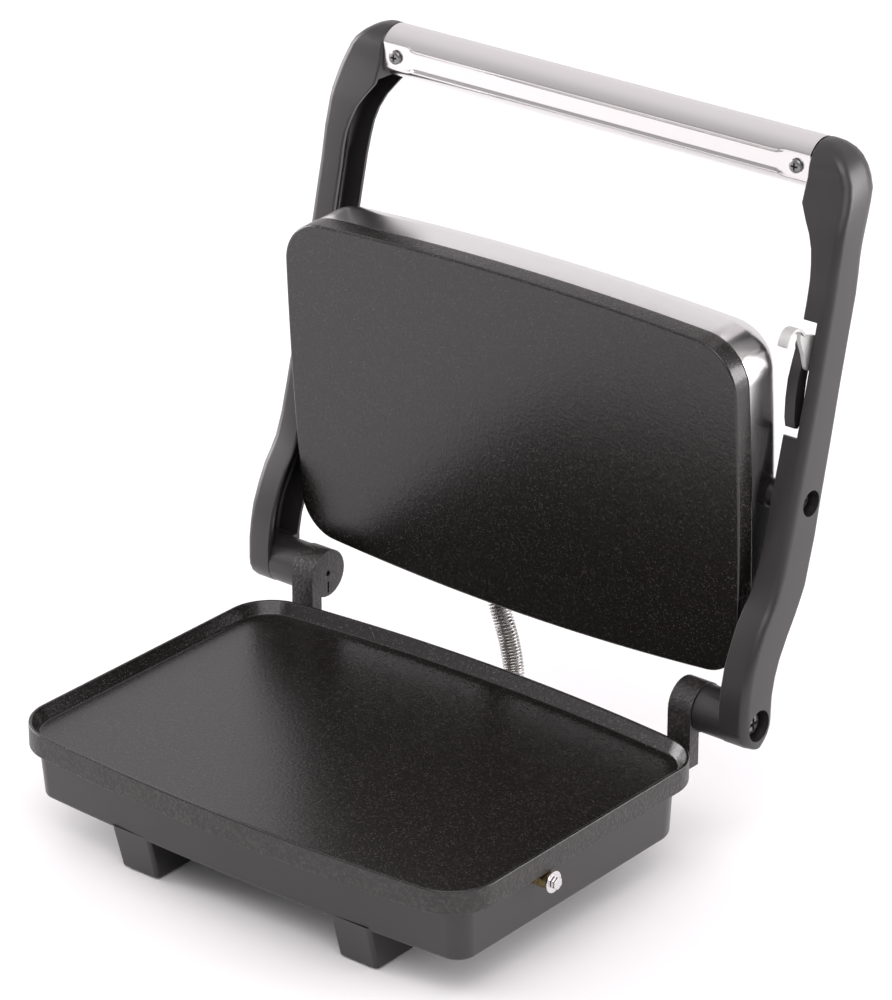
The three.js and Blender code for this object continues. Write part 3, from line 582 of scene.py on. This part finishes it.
def tube_ring(x, sides=96):
    """Section of the tube at x: round, but for the band pressed in towards the axis."""
    from_end = tube_high.x - abs(x)
    half = pad_half + (band_half - pad_half) * ease((from_end - pad_long) / pad_ease)
    ring = []
    for i in range(sides):
        a = 2 * math.pi * i / sides
        y, z = -tube_radius * math.cos(a), tube_radius * math.sin(a)
        if y < 0 and abs(z) < half + band_slope:
            y += (-band_depth - y) * ease((half + band_slope - abs(z)) / band_slope)
        ring.append(Vector((x, tube_axis.y + y, tube_axis.z + z)))
    return ring


tube_end, end_steps, middle_steps = 24 * MM, 24, 30
tube_middle = tube_high.x - tube_low.x - 2 * tube_end
xs = [tube_low.x + tube_end * i / end_steps for i in range(end_steps)]
xs += [tube_low.x + tube_end + tube_middle * i / middle_steps for i in range(middle_steps + 1)]
xs += [tube_high.x - tube_end + tube_end * (i + 1) / end_steps for i in range(end_steps)]
handle = piece("handle_tube_polished", loft([tube_ring(x) for x in xs]), polished_tube, smooth=50)
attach(handle, "arms")
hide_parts("handle_tube")


# ---- Screws and bolts --------------------------------------------------------------------------
# Pan-head steel screws with a cross recess, zinc plated, with painted shade on the recess's faces.
# Each is drawn up on its own seat; the hinge bolts and float screws sit deep in the arms.
def zinc(place):
    stain = place.cloud(900, 3.0)
    return {"Base Color": stain.blend((0.14, 0.14, 0.145, 1), (0.32, 0.32, 0.32, 1)), "Metallic": 1.0,
            "Roughness": 0.24 + 0.16 * stain, "Normal": stain.relief(0.15, 0.0001)}


# Painted shade: a near-black, faintly mottled colour for the faces inside the cross recess, where shade
# falls.
def shade_in_recess(place):
    shade_mottle = place.cloud(1500, 2.0)
    return {"Base Color": shade_mottle.blend((0.01, 0.01, 0.01, 1), (0.03, 0.03, 0.03, 1)),
            "Roughness": 0.7 + 0.1 * shade_mottle}


zinc_plate = finish("zinc_plate", zinc)
painted_recess_shade = finish("painted_recess_shade", shade_in_recess)


def turned(profile, sides=48):
    """Corners and faces of a shape turned about Z from its (radius, height) profile."""
    turns = [2 * math.pi * i / sides for i in range(sides)]
    return loft([[Vector((r * math.cos(a), r * math.sin(a), z)) for a in turns] for r, z in profile])


def cross_screw(name, node, seat, body, radius, height, shank, length):
    """A screw whose head stands on the seat, Z out of the seat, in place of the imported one."""
    crown, rim = 0.3, 0.45
    crown_steps = 8
    profile = [(shank * 0.55, -length), (shank, -length + shank), (shank, -0.15 * MM)]
    profile += [(radius * 0.97, 0), (radius, 0.12 * height)]
    for i in range(crown_steps + 1):
        a = i / crown_steps * math.pi / 2
        profile.append((radius * (crown + (1 - crown) * math.cos(a)),
                        height * (rim + (1 - rim) * math.sin(a))))
    made = piece(name, turned(profile), zinc_plate)
    wing, thick, deep = 0.6 * radius, 0.15 * radius, 0.7 * height
    tools = []
    for turn in (0, math.pi / 2):
        across = Matrix.Rotation(turn, 4, "Z")
        rings = []
        for z, share in ((height - deep, 0.45), (height + 0.2 * MM, 1.0)):
            half_long, half_thick = wing * share, thick * (0.4 + 0.6 * share)
            rings.append([across @ Vector((x * half_long, y * half_thick, z))
                          for x, y in ((-1, -1), (1, -1), (1, 1), (-1, 1))])
        tools.append(loft(rings))
    carve(made, tools)
    # Painted shade: the faces inside the cross recess take the near-black recess colour.
    made.data.materials.append(painted_recess_shade)
    for face in made.data.polygons:
        out, up = face.center.xy.length, face.center.z
        past_crown = max(out / radius - crown, 0) / (1 - crown)
        top = height * (rim + (1 - rim) * math.sqrt(max(0, 1 - past_crown ** 2)))
        if out < wing * 1.05 and 0.1 * height < up < top - 0.04 * height:
            face.material_index = 1
    made.data.transform(seat)
    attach(made, body)
    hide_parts(node)


def seat_on(node, outward, height):
    """The place of a screw whose head of this height points outward along an axis at its node's end."""
    low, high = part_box(node)
    out = Vector(outward)
    middle = (low + high) / 2
    end = Vector([high[i] if out[i] > 0 else low[i] if out[i] < 0 else middle[i] for i in range(3)])
    turn = out.to_track_quat("Z", "Y").to_matrix().to_4x4()
    return Matrix.Translation(end - out * height) @ turn


def outward_screw(name, node, outward, body, size):
    """A cross screw whose head ends where its packed one does."""
    cross_screw(name, node, seat_on(node, outward, size["height"]), body, **size)


def screw_size(radius, height, shank, length):
    """A screw's head radius and height, shank radius and length under the head, from millimetres."""
    return {"radius": radius * MM, "height": height * MM, "shank": shank * MM, "length": length * MM}


pan_screw = screw_size(4, 2.2, 2, 14)
bracket_screw = screw_size(3.6, 2, 2, 7.4)
hinge_bolt = screw_size(6.6, 3.9, 4, 35.8)
float_screw = screw_size(5.2, 3.3, 2.5, 22.4)
handle_screw = screw_size(3.8, 1.9, 1.9, 13)
shell_screw = screw_size(4, 2.2, 2, 13)
down, forward = (0, 0, -1), (0, -1, 0)
for quarter in quarters:
    outward_screw(f"pan_screw_{quarter}", f"plate_screw_{quarter}", down, "base", pan_screw)
for side, out in (("left", -1), ("right", 1)):
    sideways = (out, 0, 0)
    for which in ("inner", "outer"):
        outward_screw(f"bracket_screw_head_{which}_{side}", f"bracket_screw_{which}_{side}", down,
                      "base", bracket_screw)
    outward_screw(f"hinge_bolt_head_{side}", f"hinge_bolt_{side}", sideways, "base", hinge_bolt)
    outward_screw(f"float_screw_head_{side}", f"float_screw_{side}", sideways, "arms", float_screw)
    outward_screw(f"handle_screw_head_{side}", f"handle_screw_{side}", forward, "arms", handle_screw)
dress("latch_pin", zinc_plate, edge=0.2 * MM)


# ---- Upper plate -------------------------------------------------------------------------------
# A flat casting with a skirt like the pan's, and the pan's non-stick all over it.
# It floats between the arms on two short pins, so it can lie level on what is between the plates.
def joint_place(name):
    """The point that a joint turns about."""
    return Vector(next(joint["pos_m"] for joint in frame["joints"] if joint["name"] == name))


head_tilt = 3.83
float_offset = 34.8 * MM
stand = (Matrix.Translation(joint_place("plate_float"))
         @ Matrix.Rotation(math.radians(head_tilt - 90), 4, "X")
         @ Matrix.Translation((0, 0, -float_offset)))
upper_plan = {"width": lower_plan["width"] - 8.5 * MM, "depth": lower_plan["depth"] - 13.2 * MM,
              "middle": 0, "front": 23.4 * MM, "rear": 19.4 * MM, "bow_front": 5.7 * MM,
              "bow_rear": 7.5 * MM, "bow_side": 2 * MM, "taper": -0.85 * MM}
face_thick, face_lap, face_edge = 3.6 * MM, 8 * MM, 1.4 * MM
skirt_top = skirt_height - 1 * MM
face_line = soften([(face_lap, 0), (0, 0), (0, skirt_top), (skirt_wall, skirt_top),
                    (skirt_wall, face_thick)], face_edge)


def upper_loft(line):
    """Corners and faces of a shape that stands with the upper plate, from its (inset, z) profile."""
    corners, faces = loft([plate_ring(upper_plan, inset, z) for inset, z in line])
    return [stand @ p for p in corners], faces


upper_plate = piece("cooking_plate_upper", upper_loft(face_line), nonstick_coat)
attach(upper_plate, "head")
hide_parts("upper_plate")


# ---- Upper housing -----------------------------------------------------------------------------
# Pressed steel shell over the back of the upper plate, bright chrome, held by four screws.
# Its rear edge is notched where the two float pins come through.
def chrome(place):
    haze = place.cloud(40, 2.0)
    return {"Base Color": (0.76, 0.75, 0.75, 1), "Metallic": 1.0, "Roughness": 0.17 + 0.07 * haze}


bright_chrome = finish("bright_chrome", chrome)
shell_depth = 41 * MM
shell_round = 15 * MM
shell_inset = 0.5 * MM
shell_wall = 0.8 * MM
shell_lap = 34 * MM
shell_foot = skirt_top + 0.3 * MM
bend_steps = 10
shell_outer = soften([(shell_inset, shell_foot), (shell_inset, shell_depth),
                      (shell_inset + shell_lap, shell_depth)], shell_round, bend_steps)
shell_inner = soften([(shell_inset + shell_lap, shell_depth - shell_wall),
                      (shell_inset + shell_wall, shell_depth - shell_wall),
                      (shell_inset + shell_wall, shell_foot)], shell_round - shell_wall, bend_steps)
shell = piece("chrome_shell", upper_loft([*shell_inner, *shell_outer]), bright_chrome)
trunnion_holes = []
for side in ("left", "right"):
    low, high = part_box(f"float_trunnion_{side}")
    y, z, r = (low.y + high.y) / 2, (low.z + high.z) / 2, (high.y - low.y) / 2 + clear.y
    trunnion_holes.append(rod((low.x - through, y, z), (high.x + through, y, z), r))
carve(shell, trunnion_holes)
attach(shell, "head")
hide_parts("upper_housing")
shell_screw_x, shell_screw_y, shell_screw_lift = 104 * MM, 58 * MM, 0.3 * MM
for corner, sx, sy in (("top_left", -1, -1), ("top_right", 1, -1), ("bottom_left", -1, 1),
                       ("bottom_right", 1, 1)):
    on_shell = (sx * shell_screw_x, sy * shell_screw_y, shell_depth + shell_screw_lift)
    cross_screw(f"shell_screw_head_{corner}", f"shell_screw_{corner}",
                stand @ Matrix.Translation(on_shell), "head", **shell_screw)


# ---- Heaters and controls ----------------------------------------------------------------------
# Oxidised steel heater tubes, plated reflector sheets and ceramic controls, shut inside both halves.
# None of them shows with the grill whole.
def sheath(place):
    scale = place.cloud(400, 3.0)
    return {"Base Color": scale.blend((0.12, 0.1, 0.09, 1), (0.3, 0.27, 0.24, 1)), "Metallic": 1.0,
            "Roughness": 0.4 + 0.2 * scale}


def ceramic(place):
    pores = place.cloud(800, 3.0)
    return {"Base Color": pores.blend((0.62, 0.58, 0.5, 1), (0.75, 0.71, 0.63, 1)),
            "Roughness": 0.6 + 0.2 * pores, "Normal": pores.relief(0.2, 0.0001)}


heater_sheath = finish("oxidised_sheath", sheath)
cream_ceramic = finish("cream_ceramic", ceramic)
for node in ("lower_heater", "upper_heater"):
    dress(node, heater_sheath)
for node in ("lower_reflector", "upper_reflector"):
    dress(node, zinc_plate)
for node in ("lower_thermostat", "upper_thermostat", "thermal_fuse", "terminal_block"):
    dress(node, cream_ceramic, edge=0.4 * MM)


# ---- Conduit -----------------------------------------------------------------------------------
# A long coil of bright steel wire, 11.5 mm across, that leads the upper plate's wires past the hinge.
# It runs from the rubber bush on the base to the one on the shell, in two pieces that meet at the hinge.
def wire(place):
    draw = place.cloud(1800, 2.0)
    return {"Base Color": draw.blend((0.3, 0.29, 0.28, 1), (0.5, 0.49, 0.47, 1)), "Metallic": 1.0,
            "Roughness": 0.2 + 0.12 * draw}


bright_wire = finish("bright_wire", wire)
bush_low, bush_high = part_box("conduit_bush_base")
bush_gap = 0.3 * MM
straight_on = (bush_gap, bush_gap + 3 * MM, bush_gap + 7 * MM)
route = [Vector(((bush_low.x + bush_high.x) / 2, bush_high.y + past, (bush_low.z + bush_high.z) / 2))
         for past in straight_on]
for x, y, z in ((-5, 122, 38.6), (-7.5, 134, 36.5), (-11, 143.5, 38), (-14.5, 148.5, 45),
                (-18.5, 150, 58), (-22, 150.3, 68)):
    route.append(Vector((x * MM, lower_plan["middle"] + y * MM, z * MM)))
hinge_rise = route[-1]
lid_bush_x, lid_bush_z, lid_bush_out = -28.5 * MM, 21.2 * MM, 3.3 * MM
lid_reach = upper_plan["depth"] / 2 + upper_plan["bow_rear"] - shell_inset + lid_bush_out
for past in (bush_gap + 8 * MM, bush_gap + 4 * MM, bush_gap):
    route.append(stand @ Vector((lid_bush_x, lid_reach + past, lid_bush_z)))


def along(points, steps):
    """A smooth line through the points, with this many steps between each two."""
    line = []
    ends = [2 * points[0] - points[1], *points, 2 * points[-1] - points[-2]]
    for a, b, c, d in zip(ends, ends[1:], ends[2:], ends[3:]):
        for i in range(steps):
            t = i / steps
            line.append(0.5 * (2 * b + (c - a) * t + (2 * a - 5 * b + 4 * c - d) * t ** 2
                               + (3 * b - a - 3 * c + d) * t ** 3))
    return line + [points[-1]]


def even(line, step):
    """The same line with its points a step apart."""
    spaced, left = [line[0]], step
    for a, b in zip(line, line[1:]):
        length = (b - a).length
        while left <= length:
            spaced.append(a.lerp(b, left / length))
            left += step
        left -= length
    return spaced


def frames_along(line):
    """Two directions across the line at each point, turned as little as can be from one to the next."""
    across = Vector((1, 0, 0))
    pairs = []
    for k in range(len(line)):
        ahead = (line[min(k + 1, len(line) - 1)] - line[max(k - 1, 0)]).normalized()
        across = (across - across.dot(ahead) * ahead).normalized()
        pairs.append((across.copy(), ahead.cross(across)))
    return pairs


def around(point, across, radius, angle):
    """The point moved out by radius, at this angle between the two directions across the line."""
    return point + radius * (math.cos(angle) * across[0] + math.sin(angle) * across[1])


def tube_along(line, radius, sides):
    """Corners and faces of a round tube along a line."""
    turns = [2 * math.pi * i / sides for i in range(sides)]
    return loft([[around(p, across, radius, a) for a in turns]
                 for p, across in zip(line, frames_along(line))])


coil_radius, wire_radius, coil_pitch = 5.1 * MM, 0.65 * MM, 1.75 * MM
sleeve_radius = 2.6 * MM
turn_steps = 18
route_steps = 12
round_coil = 80
centres = even(along(route, route_steps), coil_pitch / turn_steps)
helix = [around(p, across, coil_radius, 2 * math.pi * k / turn_steps)
         for k, (p, across) in enumerate(zip(centres, frames_along(centres)))]
meeting = min(range(len(centres)), key=lambda k: (centres[k] - hinge_rise).length)
for name, first, last, bodies in (("low", 0, meeting + 1, ("base", "arms")),
                                  ("high", meeting, len(helix), ("arms", "head"))):
    coil = piece(f"conduit_coil_{name}", tube_along(helix[first:last], wire_radius, 8), bright_wire,
                 smooth=round_coil)
    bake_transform(coil)
    if name == "low":
        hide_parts("conduit")
for name, part, bodies in (("low", centres[:meeting + 1:turn_steps], ("base", "arms")),
                           ("high", centres[meeting::turn_steps], ("arms", "head"))):
    wires = piece(f"lid_wires_{name}", tube_along(part, sleeve_radius, 16), cream_ceramic,
                  smooth=round_coil)
    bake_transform(wires)
    if name == "low":
        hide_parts("lid_wiring")


# ---- Latch -------------------------------------------------------------------------------------
# A brass post screwed to the base, and on the right arm a cast hook that a plastic lever turns.
# The hook is a flat ear on the pin, with a bent strip across it that ends in a round lip.
def brass(place):
    round_the_post = place.node("ShaderNodeMapping", {}, {"Vector": place, "Scale": (1.0, 0.05, 0.05)})
    marks = round_the_post.cloud(4000)
    return {"Base Color": (0.72, 0.56, 0.26, 1), "Metallic": 1.0, "Roughness": 0.2 + 0.15 * marks}


def cast_zinc(place):
    skin = place.cloud(900, 3.0)
    return {"Base Color": skin.blend((0.5, 0.5, 0.49, 1), (0.68, 0.68, 0.67, 1)), "Metallic": 0.85,
            "Roughness": 0.4 + 0.15 * skin, "Normal": skin.relief(0.25, 0.0002)}


dress("latch_post", finish("turned_brass", brass), edge=0.3 * MM)
for node in ("latch_post_washer", "latch_post_screw"):
    dress(node, polished_tube, edge=0.3 * MM)
cast_latch = finish("cast_latch", cast_zinc)
hook_low, hook_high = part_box("latch_hook")
pivot = joint_place("latch_turn")


def plate_x(points, low_x, high_x):
    """Corners and faces of a plate between low_x and high_x with this outline of (y, z) from the pivot."""
    return loft([[Vector((x, pivot.y + y * MM, pivot.z + z * MM)) for y, z in points]
                 for x in (low_x, high_x)])


def strip(line, wide, thick, low_x):
    """A bent flat strip: its middle line of (y, z) from the pivot, its width along X, its thickness."""
    rings = []
    for k, (y, z) in enumerate(line):
        back, on = line[max(k - 1, 0)], line[min(k + 1, len(line) - 1)]
        ahead = Vector((on[0] - back[0], on[1] - back[1])).normalized()
        side = Vector((-ahead.y, ahead.x)) * thick / 2
        rings.append([Vector((low_x + x, pivot.y + y * MM + s * side.x, pivot.z + z * MM + s * side.y))
                      for x, s in ((0, -1), (wide, -1), (wide, 1), (0, 1))])
    return loft(rings)


def round_line(points, steps=5):
    """The line through these (y, z) points with its bends rounded."""
    return [(p.x, p.y) for p in along([Vector((y, z)) for y, z in points], steps)]


ear = round_line([(-11, 9.6), (-6, 8.6), (0.5, 6.6), (3.6, 3.2), (4.4, -0.6), (3, -4.4), (-0.5, -8.6),
                  (-4, -10.6), (-7.4, -9.6), (-9, -5.5), (-10.4, -0.5), (-12.4, 4), (-14, 9),
                  (-13.6, 11.6)])
hook_edge, ear_thick, claw_thick = 0.2 * MM, 2.4 * MM, 1.5 * MM
ear_right = hook_high.x - hook_edge
hook = piece("latch_hook_cast", plate_x(ear, ear_right - ear_thick, ear_right), cast_latch)
claw = round_line([(-9.5, 9.6), (-12.6, 13.2), (-17, 14.7), (-21, 13.4), (-23.4, 10), (-24, 8.4)])
claw_wide = hook_high.x - hook_low.x - 3 * hook_edge
tip = Vector((hook_low.x + 3 * MM, pivot.y - 23.7 * MM, pivot.z + 8.3 * MM))
tip_left, tip_right, tip_radius = Vector((-2.6 * MM, 0, 0)), Vector((3.3 * MM, 0, 0)), 1.2 * MM
carve(hook, [strip(claw, claw_wide, claw_thick, hook_low.x + hook_edge),
             rod(tip + tip_left, tip + tip_right, tip_radius, sides=20)], "UNION")
pin_hole = 2.15 * MM
carve(hook, [rod((hook_low.x, pivot.y, pivot.z), (hook_high.x + 1 * MM, pivot.y, pivot.z), pin_hole)])
round_edges = hook.modifiers.new("round_edges", "BEVEL")
round_edges.width, round_edges.segments = 0.35 * MM, 3
round_edges.limit_method, round_edges.angle_limit = "ANGLE", math.radians(40)
apply_tools(hook)
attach(hook, "latch")
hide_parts("latch_hook")
dress("latch_lever", moulded_black, edge=0.6 * MM)
